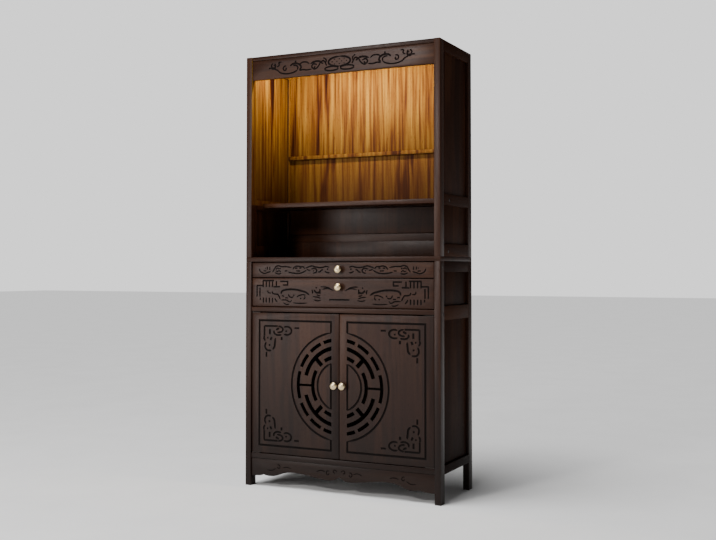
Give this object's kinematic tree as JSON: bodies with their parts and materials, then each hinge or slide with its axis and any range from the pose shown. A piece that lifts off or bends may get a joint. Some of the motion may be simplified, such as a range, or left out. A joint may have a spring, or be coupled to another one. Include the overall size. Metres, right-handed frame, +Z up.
{
  "type": "household altar cabinet",
  "caption": "Household altar cabinet: an open lit niche over a lower offering niche, carved drawers, and a cupboard behind pierced and engraved doors.",
  "frame": {"origin": "on the floor, under the middle of the whole cabinet's box, knobs included", "axes": "+Z up, -Y towards the front with the doors and drawers, +X to the right as seen from the front"},
  "size_m": [0.88, 0.37, 1.8],
  "materials": {
    "dark_wood": "dark walnut stain under satin lacquer, open grain",
    "warm_wood": "golden brown streaked veneer, satin",
    "brass": "pale brushed brass",
    "steel": "brushed",
    "lamp": "opal cover, warm white"
  },
  "bodies": {
    "cabinet_case": {"altar_shelf": "dark_wood", "apron": "dark_wood", "back_ledge": "warm_wood", "back_panel_altar": "warm_wood", "back_panel_lower": "dark_wood", "back_panel_middle": "warm_wood", "back_panel_offering": "dark_wood", "back_slot_rail": "dark_wood", "bottom_board": "dark_wood", "counter_board": "dark_wood", "header": "dark_wood", "left_drawer_runner": "dark_wood", "left_panel_altar": "dark_wood", "left_panel_cupboard": "dark_wood", "left_panel_drawer": "dark_wood", "left_panel_offering": "dark_wood", "left_rail_foot": "dark_wood", "left_rail_over_counter": "dark_wood", "left_rail_shelf": "dark_wood", "left_rail_top": "dark_wood", "left_rail_under_counter": "dark_wood", "left_rail_waist": "dark_wood", "lower_post_back_left": "dark_wood", "lower_post_back_right": "dark_wood", "lower_post_front_left": "dark_wood", "lower_post_front_right": "dark_wood", "middle_board": "dark_wood", "niche_lamp": "lamp", "right_drawer_runner": "dark_wood", "right_panel_altar": "dark_wood", "right_panel_cupboard": "dark_wood", "right_panel_drawer": "dark_wood", "right_panel_offering": "dark_wood", "right_rail_foot": "dark_wood", "right_rail_over_counter": "dark_wood", "right_rail_shelf": "dark_wood", "right_rail_top": "dark_wood", "right_rail_under_counter": "dark_wood", "right_rail_waist": "dark_wood", "top_board": "dark_wood", "upper_post_back_left": "dark_wood", "upper_post_back_right": "dark_wood", "upper_post_front_left": "dark_wood", "upper_post_front_right": "dark_wood"},
    "left_door": {"left_door": "dark_wood", "left_door_knob": "brass", "left_door_top_pivot": "steel", "left_door_bottom_pivot": "steel"},
    "right_door": {"right_door": "dark_wood", "right_door_knob": "brass", "right_door_top_pivot": "steel", "right_door_bottom_pivot": "steel"},
    "upper_drawer": {"upper_drawer_front": "dark_wood", "upper_drawer_box": "warm_wood", "upper_drawer_knob": "brass"},
    "lower_drawer": {"lower_drawer_front": "dark_wood", "lower_drawer_box": "warm_wood", "lower_drawer_knob": "brass"}
  },
  "joints": [
    {"name": "left_door_hinge", "type": "hinge", "parent": "cabinet_case", "child": "left_door", "pos_m": [-0.407, -0.156, 0.43], "axis": [0, 0, -1], "range_deg": [0, 100]},
    {"name": "right_door_hinge", "type": "hinge", "parent": "cabinet_case", "child": "right_door", "pos_m": [0.407, -0.156, 0.43], "axis": [0, 0, 1], "range_deg": [0, 100]},
    {"name": "upper_drawer_slide", "type": "slide", "parent": "cabinet_case", "child": "upper_drawer", "axis": [0, -1, 0], "range_m": [0, 0.22]},
    {"name": "lower_drawer_slide", "type": "slide", "parent": "cabinet_case", "child": "lower_drawer", "axis": [0, -1, 0], "range_m": [0, 0.22]}
  ]
}
